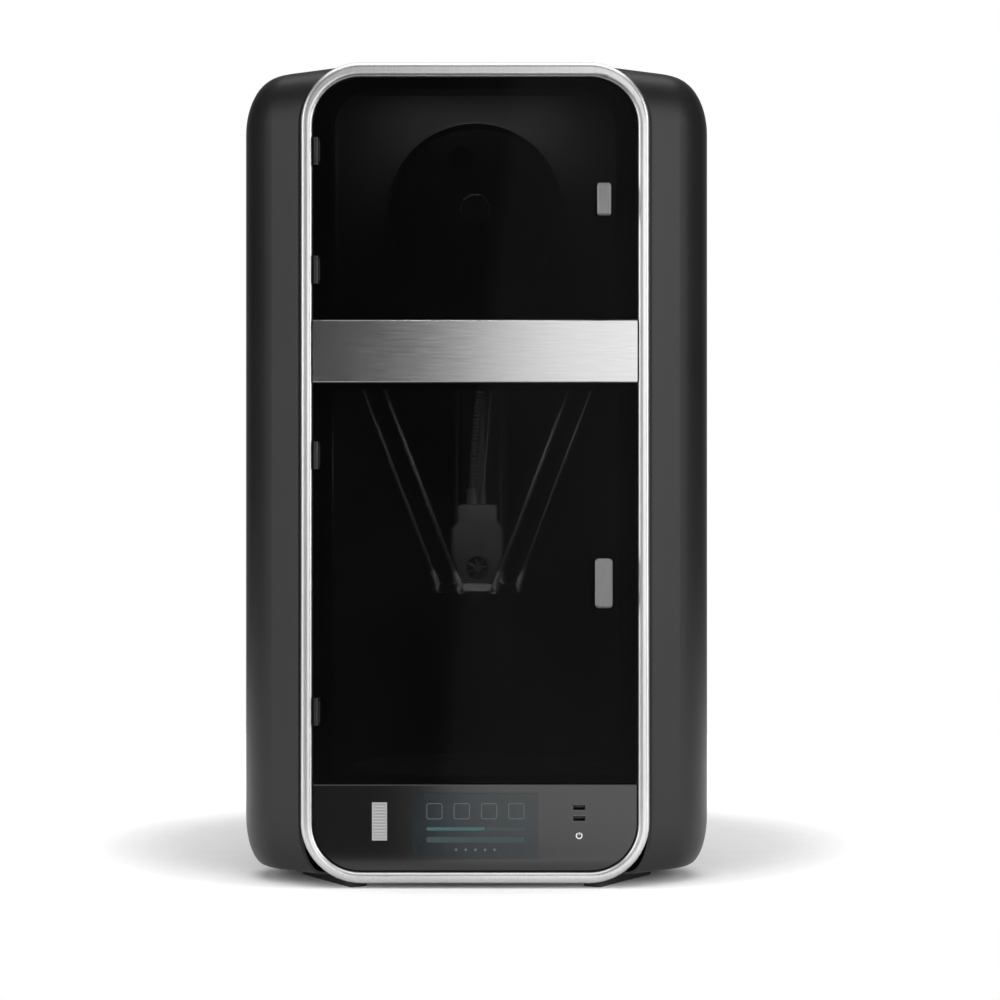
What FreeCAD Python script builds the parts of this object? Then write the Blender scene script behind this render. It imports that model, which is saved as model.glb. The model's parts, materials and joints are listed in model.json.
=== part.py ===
import FreeCAD, Part
import math
import os

# Enclosed delta 3D printer. Millimetres, +Z up, the front faces -Y. The origin is on the floor,
# under the middle of the outer box. Depths named "deep" are measured back from the front plane.

V = FreeCAD.Vector
X, Y, Z = V(1, 0, 0), V(0, 1, 0), V(0, 0, 1)

# ---- driving dimensions ----
WIDTH = 595.0                 # over the casing's widest point
CASE_DEPTH = 550.0            # front plane of the frame to the back of the casing
HEIGHT = 1030.0               # floor to the top of the front frame
HANDLE_PROUD = 14.0           # the door pulls stand this far in front of the frame
FRONT = -(CASE_DEPTH + HANDLE_PROUD) / 2 + HANDLE_PROUD
WALL = 3.0                    # casing wall

FRAME_HALF = 217.4            # half the front frame's width; the casing's lip shows beyond it
FRAME_BOTTOM = 6.2
FRAME_CORNER = 76.0
FRAME_THICK = 16.0
FRAME_HOLE_HALF = 203.0       # the opening inside the frame
FRAME_HOLE_Z = (20.6, 1011.4)
FRAME_HOLE_CORNER = 60.0

CASE_FRONT = 17.0             # the casing starts this deep
CASE_BOTTOM, CASE_TOP = 16.0, 1028.0
CASE_FRONT_HALF = 221.5
FLARE = math.radians(40)      # the flare's normal, turned from straight ahead
CORNER_R = 112.0              # plan radius of the two front corners
TOP_ROUND = (46.0, 74.0)      # inward and downward reach of the roof's rounding
TOP_FRONT_ROUND = 78.6        # the same at the frame, where it follows the frame's corner
BOTTOM_ROUND = (25.0, 62.0)
BOTTOM_FRONT_ROUND = 30.0
REAR_SPLIT = 440.0            # the rear cover starts this deep
ROOF_INSET = 52.0             # roof panel's edge, in from the casing's side
BASE_INSET = 32.0
SEAM = 0.8

DELTA_DEEP = 230.0            # the machine's centre axis
TOWER_R = 240.0               # centre axis to the middle of a tower profile
TOWER_TURNS = {"a": 0.0, "b": 120.0, "c": -120.0}   # a is at the back, b left, c right
PROFILE = (50.0, 30.0)        # tangential and radial size of a tower profile
PROFILE_Z = (30.0, 1002.0)
RAIL_Z = (440.0, 990.0)
ARM_HALF = 30.0               # half the spacing of the two arms of a pair
CARRIAGE_BALL_R = 196.0       # radius of the carriage balls from the centre axis
HEAD_BALL_R = 42.0            # the same on the print head
HEAD_BALL_Z = 366.0
ARM_RISE = 355.6              # head balls up to carriage balls
BALL_R = 4.0
CARRIAGE_Z = HEAD_BALL_Z + ARM_RISE

BELT_R = 235.0                # radius of the belt loop's middle plane line
BELT_SIDE = 33.0              # the belt runs this far to one side of the profile's middle
PULLEY_R = 9.4
BELT_INNER = 9.6
BELT_THICK = 1.4
BELT_WIDE = 6.0
MOTOR_Z = 66.0
IDLER_Z = 984.0

DECK_Z = (112.0, 115.0)       # floor of the print chamber
BED_R = 166.0
BED_Z = (121.0, 131.0)
PLATE_R = 163.0
PLATE_THICK = 1.2

BAND_Z = (631.0, 708.3)       # metal band between the doors
PANEL_Z = (22.6, 129.6)       # control panel
UPPER_DOOR_Z = (709.6, 1009.9)
LOWER_DOOR_Z = (131.2, 629.4)
GLASS_HALF = 201.4
GLASS_DEEP = (4.0, 9.0)
GLASS_CORNER = 58.5
HINGE_X = -198.4
HINGE_DEEP = 4.0
HINGE_TALL = 34.4
UPPER_HINGES = (919.1, 771.2)
LOWER_HINGES = (539.8, 220.4)
NOTCH_X = -193.2

SPOOL_Z = 848.0
SPOOL_R = 100.0
SPOOL_DEEP = (22.0, 80.0)
SPOOL_BORE = 26.0
SPOOL_BOX = (178.0, 89.0, 712.0, 1002.0)   # half width, back, bottom, top

FAN_Z = 880.0                 # exhaust fan in the rear cover
INLET_X, INLET_Z = (-45.0, 45.0), (52.0, 104.0)   # recess of the mains socket
SOCKET_X, SOCKET_Z = (-37.0, 5.0), (64.0, 92.0)
SWITCH_X, SWITCH_Z = (12.0, 38.0), (65.0, 91.0)
ROCKER_TILT = 7.0
FRONT_SCREWS = [(-187.5, 888.5), (187.5, 888.5), (-187.5, 737.6), (187.5, 737.6)]
REAR_SCREW_X, REAR_SCREW_Z = 125.0, (150.0, 420.0, 700.0)

PANEL_DEEP = 3.5
SCREEN_X, SCREEN_Z = (-77.6, 78.4), (37.8, 118.8)
GRILLE_X, GRILLE_Z = (-128.4, -109.8), (60.0, 107.2)
GRILLE_SLOTS = 12
USB_X, USB_Z = (121.6, 137.8), (100.9, 87.1)
BUTTON_X, BUTTON_Z, BUTTON_R = 129.7, 66.0, 5.0

HEAD_FAN_Z = 394.0
NOZZLE_Z = 342.0
# The hose and cable run from the head up to the blower; x and y are from the centre axis.
HOSE = [(-6, 10, 498), (-5, 11, 560), (6.5, 17, 650), (4, 21, 780), (6, 22, 925)]
CABLE = [(7, 12, 492), (11, 13, 548), (17, 16, 612), (20, 19, 680), (18, 22, 745),
         (20.5, 24, 810), (18.5, 25, 873), (20, 26, 935)]
HOSE_R, CABLE_R = 6.0, 2.5

PANEL_REACH = 190.0           # centre axis to the print chamber's side sheets


# ---- small builders ----
def at(deep):
    return FRONT + deep


def box(x, deep, z):
    """A box from ranges of x, depth behind the front plane, and z."""
    corner = V(x[0], at(deep[0]), z[0])
    return Part.makeBox(x[1] - x[0], deep[1] - deep[0], z[1] - z[0], corner)


def block(x, y, z):
    """A box from ranges of x, y and z, for parts drawn in a frame of their own."""
    return Part.makeBox(x[1] - x[0], y[1] - y[0], z[1] - z[0], V(x[0], y[0], z[0]))


def grown(span, by):
    return (span[0] - by, span[1] + by)


def rod(radius, start, end):
    span = end - start
    return Part.makeCylinder(radius, span.Length, start, span)


def union(shapes):
    first = shapes[0]
    return first.fuse(shapes[1:]).removeSplitter() if len(shapes) > 1 else first


def save(name, *shapes):
    shape = shapes[0] if len(shapes) == 1 else Part.makeCompound(list(shapes))
    shape.exportStep("parts/" + name + ".step")
    print(name, len(shape.Solids), round(shape.Volume / 1000, 1), "cm3")


def slab(half, z, radii, deep):
    """An upright plate seen from the front, with its bottom and top corners rounded."""
    bottom, top = radii
    low, high = z
    y = at(deep[0])
    edges = []

    def corner(cx, cz, radius, start):
        angles = [math.radians(start + step) for step in (0, 45, 90)]
        points = [V(cx + radius * math.cos(a), y, cz + radius * math.sin(a)) for a in angles]
        return Part.Arc(*points).toShape()

    spots = [
        (half, low, bottom, -90),
        (half, high, top, 0),
        (-half, high, top, 90),
        (-half, low, bottom, 180),
    ]
    last = first = None
    for px, pz, radius, start in spots:
        if radius > 0:
            cx = px - math.copysign(radius, px)
            cz = pz + radius if pz == low else pz - radius
            arc = corner(cx, cz, radius, start)
            begin, end = arc.valueAt(arc.FirstParameter), arc.valueAt(arc.LastParameter)
        else:
            arc, begin = None, V(px, y, pz)
            end = begin
        if last is not None:
            edges.append(Part.LineSegment(last, begin).toShape())
        if arc is not None:
            edges.append(arc)
        first = first or begin
        last = end
    edges.append(Part.LineSegment(last, first).toShape())
    face = Part.Face(Part.Wire(edges))
    return face.extrude(V(0, deep[1] - deep[0], 0))


def side_edges(shape, deep):
    """Edges that lie in the upright plane at one depth."""
    y = at(deep)
    return [e for e in shape.Edges if all(abs(v.Y - y) < 1e-4 for v in e.Vertexes)
            and abs(e.CenterOfMass.y - y) < 1e-4]


# ---- casing ----
def plan_wire(z, front_half, half, radius, back, deep, inset):
    """The casing's outline at one height: front line, flares, corners, side walls, back."""
    sin, cos = math.sin(FLARE), math.cos(FLARE)
    y0 = at(deep)
    cx = half - radius
    cy = y0 + (sin * (half - radius - front_half) + radius) / cos
    reach = math.cos(math.radians(30)) * cx + 0.5 * cy + radius
    back_r = 2 * reach - back
    back_y = back - back_r

    def on_corner(degrees):
        turn = math.radians(degrees)
        return V(cx + radius * math.sin(turn), cy - radius * math.cos(turn), z)

    def mirrored(p):
        return V(-p.x, p.y, p.z)

    wall_end = V(back_r * math.cos(math.radians(30)), back_y + 0.5 * back_r, z)
    flare_end, corner_mid, wall_start = (on_corner(a) for a in (math.degrees(FLARE), 80, 120))
    front = V(front_half, y0, z)
    behind = V(0, back, z)
    edges = [
        Part.LineSegment(mirrored(front), front),
        Part.LineSegment(front, flare_end),
        Part.Arc(flare_end, corner_mid, wall_start),
        Part.LineSegment(wall_start, wall_end),
        Part.Arc(wall_end, behind, mirrored(wall_end)),
        Part.LineSegment(mirrored(wall_end), mirrored(wall_start)),
        Part.Arc(mirrored(wall_start), mirrored(corner_mid), mirrored(flare_end)),
        Part.LineSegment(mirrored(flare_end), mirrored(front)),
    ]
    return Part.Wire([edge.toShape() for edge in edges])


def outline(z, inset=0.0, side=0.0, front=0.0, deep=CASE_FRONT):
    """Outline at height z, its walls moved in by inset, then by side (walls) and front (frame end)."""
    front_half = CASE_FRONT_HALF - inset / math.sin(FLARE) - front
    front_half -= (CASE_FRONT - deep) / math.tan(FLARE)
    moved = inset + side
    back = at(CASE_DEPTH) - moved
    return plan_wire(z, front_half, WIDTH / 2 - moved, CORNER_R - moved, back, deep, inset)


def rounded_end(z_start, z_end, reach, front_reach, inset, deep):
    """The casing's top or bottom, where the walls round inwards."""
    wires = []
    side, rise = reach[0] - inset, z_end - z_start
    front_side = front_reach - inset / math.sin(FLARE)
    for step in range(0, 91, 15):
        turn = math.radians(step)
        inward = side * (1 - math.cos(turn))
        front = front_side * (1 - math.cos(turn))
        wires.append(outline(z_start + rise * math.sin(turn), inset, inward, front, deep))
    return Part.makeLoft(wires, True, False)


def casing_solid(inset, deep):
    top_start, bottom_start = CASE_TOP - TOP_ROUND[1], CASE_BOTTOM + BOTTOM_ROUND[1]
    middle = Part.Face(outline(bottom_start, inset, deep=deep)).extrude(V(0, 0, top_start - bottom_start))
    top = rounded_end(top_start, CASE_TOP - inset, TOP_ROUND, TOP_FRONT_ROUND, inset, deep)
    bottom = rounded_end(bottom_start, CASE_BOTTOM + inset, BOTTOM_ROUND, BOTTOM_FRONT_ROUND, inset, deep)
    return middle.fuse([top, bottom])


def roof_region(half_gap):
    """The roof panel's place; half_gap shrinks it to leave the seam."""
    inset = ROOF_INSET - TOP_ROUND[0] + half_gap
    wire = outline(CASE_TOP - 12, inset, TOP_ROUND[0], TOP_FRONT_ROUND)
    return Part.Face(wire).extrude(V(0, 0, 20))


def base_region(half_gap):
    wire = outline(CASE_BOTTOM - 2, BASE_INSET - BOTTOM_ROUND[0] + half_gap, BOTTOM_ROUND[0],
                   BOTTOM_FRONT_ROUND)
    return Part.Face(wire).extrude(V(0, 0, 8))


def rear_openings():
    """Vents, fan grille and the recess for the mains socket, cut through the rear cover."""
    deep = (CASE_DEPTH - 40, CASE_DEPTH + 10)
    cuts = []
    for row in range(9):
        z = FAN_Z - 36 + row * 9
        half = math.sqrt(38.0 ** 2 - (z - FAN_Z) ** 2)
        cuts.append(box((-half, half), deep, (z - 2.2, z + 2.2)))
    for row in range(5):
        z = 56 + row * 11
        for side in (-1, 1):
            cuts.append(box((side * 82.5 - 23, side * 82.5 + 23), deep, (z - 2, z + 2)))
    cuts.append(box(INLET_X, (CASE_DEPTH - 14, CASE_DEPTH + 10), INLET_Z))
    cuts.append(box(grown(SOCKET_X, 0.3), (CASE_DEPTH - 20, CASE_DEPTH), grown(SOCKET_Z, 0.3)))
    cuts.append(box(grown(SWITCH_X, 0.3), (CASE_DEPTH - 20, CASE_DEPTH), grown(SWITCH_Z, 0.3)))
    return cuts


def casing():
    shell = casing_solid(0.0, CASE_FRONT).cut(casing_solid(WALL, CASE_FRONT - 1))
    far = (REAR_SPLIT + SEAM / 2, CASE_DEPTH + 20)
    near = (CASE_FRONT - 5, REAR_SPLIT - SEAM / 2)
    tall = (0, HEIGHT + 20)
    roof = shell.common(roof_region(SEAM))
    sides = shell.cut([roof_region(0.0), base_region(0.0)])
    back = sides.common(box((-300, 300), far, tall))
    socket_frame = box((INLET_X[0] - 3, INLET_X[1] + 3), (CASE_DEPTH - 17, CASE_DEPTH - 4),
                       (INLET_Z[0] - 3, INLET_Z[1] + 3))
    socket_frame = socket_frame.common(casing_solid(WALL / 2, CASE_FRONT))
    back = back.fuse(socket_frame).cut(rear_openings())
    back = back.cut([rod(2.0, spot - out * 6, spot + out * 2) for spot, out in rear_screw_spots()])
    left = sides.common(box((-300, -SEAM / 2), near, tall))
    right = sides.common(box((SEAM / 2, 300), near, tall))
    save("left_side_cover", left)
    save("right_side_cover", right)
    save("rear_cover", back)
    save("roof_panel", roof.cut(roof_vents()))
    save("base_pan", shell.common(base_region(SEAM)).cut(base_vents()))


def roof_vents():
    """Two rows of slots over the air intake at the back of the roof."""
    cuts = []
    for column in range(-7, 8):
        x = column * 9.0
        cuts.append(box((x - 2, x + 2), (372, 432), (CASE_TOP - 6, CASE_TOP + 4)))
    return cuts


def base_vents():
    cuts = []
    for column in range(-6, 7):
        x = column * 12.0
        cuts.append(box((x - 2.5, x + 2.5), (330, 400), (CASE_BOTTOM - 4, CASE_BOTTOM + 6)))
    return cuts


def feet():
    """Three rubber bars across the corners: the front two reach forward, the back one is centred."""
    spans = {"a": (-74, 74), "b": (-112, 30), "c": (-112, 30)}
    bars = []
    for name, span in spans.items():
        bar = block(span, (219, 245), (0, CASE_BOTTOM))
        uprights = [e for e in bar.Edges if abs(e.tangentAt(e.FirstParameter).z) > 0.9]
        bar = bar.makeFillet(6, uprights)
        under = [e for e in bar.Edges if abs(e.CenterOfMass.z) < 1e-6]
        bar = on_tower(bar.makeChamfer(1.5, under), name)
        bars.append(bar.cut(box((-300, 300), (-20, FRAME_THICK + 0.3), (FRAME_BOTTOM - 0.4, 30))))
    save("foot_bars", *bars)


def on_tower(shape, name):
    """Moves a shape from a tower's frame (x to the side, y outwards) to its place."""
    shape = shape.copy()
    if name == "c":
        shape = shape.mirror(V(0, 0, 0), X)
    shape.rotate(V(0, 0, 0), Z, TOWER_TURNS[name])
    shape.translate(V(0, at(DELTA_DEEP), 0))
    return shape


# ---- front: frame, doors, band, panel ----
def front_frame():
    outer = slab(FRAME_HALF, (FRAME_BOTTOM, HEIGHT), (FRAME_CORNER,) * 2, (0, FRAME_THICK))
    outer = outer.makeFillet(6.5, side_edges(outer, 0))
    low, high = FRAME_HOLE_Z
    hole = slab(FRAME_HOLE_HALF, FRAME_HOLE_Z, (FRAME_HOLE_CORNER,) * 2, (-2, FRAME_THICK + 2))
    ring = outer.cut(hole)
    inner = [e for e in side_edges(ring, 0) if abs(e.CenterOfMass.x) < FRAME_HOLE_HALF + 0.1
             and low - 0.1 < e.CenterOfMass.z < high + 0.1]
    save("front_frame", ring.makeFillet(6.0, inner))


def door_surround():
    """Black carrier behind the frame that the doors close on."""
    deep = (FRAME_THICK, FRAME_THICK + 12)
    plate = slab(212, (21, 1016), (70, 70), deep)
    plate = plate.cut(slab(SPOOL_BOX[0] - 2, (716, 998), (8, 50), (deep[0] - 2, deep[1] + 2)))
    plate = plate.cut(slab(184, (136, 624), (8, 8), (deep[0] - 2, deep[1] + 2)))
    plate = plate.cut(slab(150, (32, 120), (8, 8), (deep[0] - 2, deep[1] + 2)))
    save("door_surround", plate)


def mid_band():
    plate = box((-202.4, 202.4), (1.5, FRAME_THICK - 0.2), BAND_Z)
    long_edges = [e for e in side_edges(plate, 1.5) if e.Length > 300]
    save("mid_band", plate.makeChamfer(1.0, long_edges))


def glass_pane(z, corner, hinges):
    pane = slab(GLASS_HALF, z, (0, corner), GLASS_DEEP)
    for hinge in hinges:
        notch_z = (hinge - HINGE_TALL / 2 - 0.6, hinge + HINGE_TALL / 2 + 0.6)
        pane = pane.cut(box((-GLASS_HALF - 1, NOTCH_X), (GLASS_DEEP[0] - 1, GLASS_DEEP[1] + 1), notch_z))
    return pane


def door_seal(z, corner):
    half = 182.8
    deep = (GLASS_DEEP[1] + 0.3, FRAME_THICK)
    outer = slab(half, z, corner, deep)
    inner = slab(half - 3.6, (z[0] + 3.6, z[1] - 3.6), [max(c - 3.6, 0) for c in corner],
                 (deep[0] - 1, deep[1] + 1))
    return outer.cut(inner)


def hinge_leaf(z):
    """The door's half: a knuckle on the pin, a web through the notch and a leaf behind the glass."""
    y = at(HINGE_DEEP)
    tall = 26.0
    low = z - tall / 2
    knuckle = Part.makeCylinder(3.2, tall, V(HINGE_X, y, low))
    web = box((HINGE_X - 1.6, NOTCH_X - 0.1), (HINGE_DEEP, 11.0), (low, low + tall))
    leaf = box((HINGE_X - 1.6, -185.0), (GLASS_DEEP[1], 11.0), (low, low + tall))
    bore = Part.makeCylinder(1.55, tall + 2, V(HINGE_X, y, low - 1))
    return union([knuckle, web, leaf]).cut(bore)


def hinge_bracket(z):
    """The fixed half: two ears, the pin through them and a plate on the door surround."""
    y = at(HINGE_DEEP)
    half = HINGE_TALL / 2
    ear = 3.8
    shapes = [box((HINGE_X - 3.6, HINGE_X + 4.2), (FRAME_THICK - 3.2, FRAME_THICK), (z - half, z + half))]
    for low in (z - half, z + half - ear):
        shapes.append(Part.makeCylinder(3.2, ear, V(HINGE_X, y, low)))
        shapes.append(box((HINGE_X - 2.6, HINGE_X + 2.6), (HINGE_DEEP, FRAME_THICK - 1), (low, low + ear)))
    shapes.append(Part.makeCylinder(1.5, HINGE_TALL, V(HINGE_X, y, z - half)))
    return union(shapes)


def pull(x, z, wide, tall, corner):
    """A metal door pull: a rounded bar held off the glass by two posts."""
    front = -HANDLE_PROUD
    bar = slab(wide / 2, (z - tall / 2, z + tall / 2), (corner, corner), (front, front + 9))
    bar = bar.makeChamfer(2.2, side_edges(bar, front))
    bar.translate(V(x, 0, 0))
    shapes = [bar]
    for side in (-1, 1):
        spot = z + side * (tall / 2 - 7.5)
        shapes.append(rod(4.0, V(x, at(front + 9), spot), V(x, at(GLASS_DEEP[0]), spot)))
    return union(shapes)


def doors():
    save("upper_door_glass", glass_pane(UPPER_DOOR_Z, GLASS_CORNER, UPPER_HINGES))
    save("lower_door_glass", glass_pane(LOWER_DOOR_Z, 0, LOWER_HINGES))
    save("upper_door_hinges", *[hinge_leaf(z) for z in UPPER_HINGES])
    save("lower_door_hinges", *[hinge_leaf(z) for z in LOWER_HINGES])
    save("hinge_brackets", *[hinge_bracket(z) for z in UPPER_HINGES + LOWER_HINGES])
    save("upper_door_handle", pull(160.5, 857.8, 17.0, 40.5, 3.5))
    save("lower_door_handle", pull(160.0, 380.8, 21.6, 61.5, 5.0))
    seals = [door_seal((UPPER_DOOR_Z[0] + 5, UPPER_DOOR_Z[1] - 8), (0, 46)),
             door_seal((LOWER_DOOR_Z[0] + 5, LOWER_DOOR_Z[1] - 5), (0, 0))]
    save("door_seals", *seals)


# ---- control panel ----
def control_panel():
    panel = slab(GLASS_HALF, PANEL_Z, (GLASS_CORNER, 0), (PANEL_DEEP, PANEL_DEEP + 9))
    top = [e for e in side_edges(panel, PANEL_DEEP) if abs(e.CenterOfMass.z - PANEL_Z[1]) < 0.1]
    panel = panel.makeChamfer(1.2, top)
    cuts = [box(grown(SCREEN_X, 0.3), (PANEL_DEEP - 2, PANEL_DEEP + 4.3), grown(SCREEN_Z, 0.3)),
            box(grown(GRILLE_X, 0.2), (PANEL_DEEP - 2, PANEL_DEEP + 3.3), grown(GRILLE_Z, 0.2)),
            rod(BUTTON_R + 0.1, V(BUTTON_X, at(0), BUTTON_Z), V(BUTTON_X, at(20), BUTTON_Z))]
    for z in USB_Z:
        cuts.append(box(grown(USB_X, 0.2), (PANEL_DEEP - 2, PANEL_DEEP + 12), (z - 3.6, z + 3.6)))
    save("control_panel", panel.cut(cuts))
    save("touch_screen", box(SCREEN_X, (PANEL_DEEP - 0.3, PANEL_DEEP + 4), SCREEN_Z))

    grille = box(GRILLE_X, (PANEL_DEEP - 0.6, PANEL_DEEP + 3), GRILLE_Z)
    pitch = (GRILLE_Z[1] - GRILLE_Z[0] - 1.4) / GRILLE_SLOTS
    slots = []
    for row in range(GRILLE_SLOTS):
        z = GRILLE_Z[0] + 0.7 + pitch * (row + 0.5)
        slots.append(box((GRILLE_X[0] + 1, GRILLE_X[1] - 1), (PANEL_DEEP - 2, PANEL_DEEP + 1.5),
                         (z - pitch * 0.28, z + pitch * 0.28)))
    save("side_grille", grille.cut(slots))

    sockets = []
    for z in USB_Z:
        shell = box(USB_X, (PANEL_DEEP - 0.2, PANEL_DEEP + 17), (z - 3.4, z + 3.4))
        mouth = box(grown(USB_X, -1.2), (PANEL_DEEP - 1, PANEL_DEEP + 16), (z - 2.5, z + 2.5))
        tongue = box(grown(USB_X, -2.4), (PANEL_DEEP + 1.5, PANEL_DEEP + 17), (z + 0.5, z + 2.2))
        sockets.append(shell.cut(mouth).fuse(tongue))
    save("usb_sockets", *sockets)

    front = V(BUTTON_X, at(PANEL_DEEP - 1.4), BUTTON_Z)
    cap = rod(BUTTON_R, front, V(BUTTON_X, at(PANEL_DEEP + 8), BUTTON_Z))
    rim = [e for e in cap.Edges if abs(e.CenterOfMass.y - front.y) < 1e-4]
    save("power_button", cap.makeFillet(0.6, rim))


# ---- towers, belts and carriages, each drawn in a tower's frame ----
def tower_parts():
    px, py = PROFILE
    inner, outer = TOWER_R - py / 2, TOWER_R + py / 2
    low, high = PROFILE_Z
    profile = block((-px / 2, px / 2), (inner, outer), PROFILE_Z)
    cores = [block((side * 12 - 8, side * 12 + 8), (inner + 4, outer - 4), (low - 1, high + 1))
             for side in (-1, 1)]
    slots = [block((side * 16 - 3, side * 16 + 3), (outer - 2.5, outer + 1), (low - 1, high + 1))
             for side in (-1, 0, 1)]
    profile = profile.cut(cores + slots)
    rail = block((-6, 6), (inner - 8, inner), RAIL_Z)
    rail = rail.cut([block((side * 6 - 1, side * 6 + 1), (inner - 5.5, inner - 3), RAIL_Z)
                     for side in (-1, 1)])

    top = block((-30, 42), (206, 262), (high, high + 6))
    cheek = block((39, 42), (221, 249), (IDLER_Z - 14, high))
    pin = rod(2.5, V(27.4, BELT_R, IDLER_Z), V(40, BELT_R, IDLER_Z))
    upper = union([top, cheek, pin])

    base = block((-34, 44), (208, 262), (low - 11.0, low))
    cheek = block((39, 42), (213, 257), (low, MOTOR_Z + 24))
    hole = rod(11.3, V(38, BELT_R, MOTOR_Z), V(43, BELT_R, MOTOR_Z))
    lower = union([base, cheek]).cut(hole)

    motor = block((42, 92), (214, 256), (MOTOR_Z - 21, MOTOR_Z + 21))
    longways = [e for e in motor.Edges if abs(e.tangentAt(e.FirstParameter).x) > 0.9]
    motor = motor.makeChamfer(4.0, longways)
    boss = rod(11.0, V(40.2, BELT_R, MOTOR_Z), V(42, BELT_R, MOTOR_Z))
    motor = motor.fuse(boss).cut(rod(2.55, V(39, BELT_R, MOTOR_Z), V(64, BELT_R, MOTOR_Z)))

    belt = belt_loop(BELT_INNER + BELT_THICK).cut(belt_loop(BELT_INNER, 1.0))
    shaft = rod(2.5, V(27, BELT_R, MOTOR_Z), V(62, BELT_R, MOTOR_Z))
    pulley = union([toothed_wheel(MOTOR_Z), shaft])
    idler = toothed_wheel(IDLER_Z).cut(rod(2.55, V(27, BELT_R, IDLER_Z), V(39, BELT_R, IDLER_Z)))

    save("tower_profiles", *[on_tower(profile, name) for name in TOWER_TURNS])
    save("linear_rails", *[on_tower(rail, name) for name in TOWER_TURNS])
    brackets = [on_tower(shape, name) for shape in (upper, lower) for name in TOWER_TURNS]
    save("corner_brackets", *brackets)
    save("tower_motors", *[on_tower(motor, name) for name in TOWER_TURNS])
    save("drive_belts", *[on_tower(belt, name) for name in TOWER_TURNS])
    save("belt_idlers", *[on_tower(idler, name) for name in TOWER_TURNS])
    for name in TOWER_TURNS:
        save("motor_pulley_" + name, on_tower(pulley, name))


def toothed_wheel(z):
    x0 = BELT_SIDE - BELT_WIDE / 2 - 0.4
    x1 = BELT_SIDE + BELT_WIDE / 2 + 0.4
    spots = [(PULLEY_R, x0 - 0.2, x1 + 0.2), (12.0, x0 - 1.4, x0 - 0.2), (12.0, x1 + 0.2, x1 + 1.4)]
    return union([rod(r, V(a, BELT_R, z), V(b, BELT_R, z)) for r, a, b in spots])


def belt_loop(radius, extra=0.0):
    """A solid stadium round the pulley and the idler."""
    half = BELT_WIDE / 2 + extra
    x0, x1 = BELT_SIDE - half, BELT_SIDE + half
    ends = [rod(radius, V(x0, BELT_R, z), V(x1, BELT_R, z)) for z in (MOTOR_Z, IDLER_Z)]
    return union(ends + [block((x0, x1), (BELT_R - radius, BELT_R + radius), (MOTOR_Z, IDLER_Z))])


def ball_axle(y, z, core):
    """Steel balls on a short axle either side of a core."""
    shapes = []
    for side in (-1, 1):
        shapes.append(rod(2.0, V(side * core, y, z), V(side * ARM_HALF, y, z)))
        shapes.append(Part.makeSphere(BALL_R, V(side * ARM_HALF, y, z), X))
    return shapes


def carriage():
    inner = TOWER_R - PROFILE[1] / 2
    z = CARRIAGE_Z
    truck = block((-13.5, 13.5), (inner - 13, inner - 3), (z - 23, z + 23))
    truck = truck.cut(block((-6.15, 6.15), (inner - 8.2, inner), (z - 30, z + 30)))
    plate = block((-37, 39), (inner - 19, inner - 13), (z - 28, z + 28))
    plate = plate.makeFillet(5, [e for e in plate.Edges if abs(e.tangentAt(e.FirstParameter).y) > 0.9])
    core = block((-19, 19), (CARRIAGE_BALL_R - 6, inner - 18), (z - 8, z + 8))
    clamp = block((28, 38.5), (inner - 14, inner + 4), (z - 12, z + 12))
    strand = BELT_R - BELT_INNER
    slot = block((29.6, 36.4), (strand - BELT_THICK - 0.4, strand + 0.4), (z - 14, z + 14))
    return union([truck, plate, core, clamp] + ball_axle(CARRIAGE_BALL_R, z, 18)).cut(slot)


def arm(side):
    """One arm: a tube between two eyes that hold the balls."""
    x = side * ARM_HALF
    low, high = V(x, HEAD_BALL_R, HEAD_BALL_Z), V(x, CARRIAGE_BALL_R, CARRIAGE_Z)
    along = high - low
    along.normalize()
    shapes = [rod(3.0, low + along * 22, high - along * 22)]
    for centre, way in ((low, along), (high, along * -1)):
        shapes.append(Part.makeCylinder(6.5, 6.6, centre - X * 3.3, X))
        shapes.append(Part.makeCylinder(3.9, 20, centre + way * 5.0, way))
    cups = [Part.makeCylinder(BALL_R + 0.08, 8, centre - X * 4, X) for centre in (low, high)]
    return union(shapes).cut(cups)


def carriages_and_arms():
    truck = carriage()
    arms = [arm(-1), arm(1)]
    for name in TOWER_TURNS:
        save("carriage_" + name, on_tower(truck, name))
        save("arms_" + name, *[on_tower(one, name) for one in arms])


# ---- print head, drawn round the centre axis ----
def on_axis(shape):
    shape = shape.copy()
    shape.translate(V(0, at(DELTA_DEEP), 0))
    return shape


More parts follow.
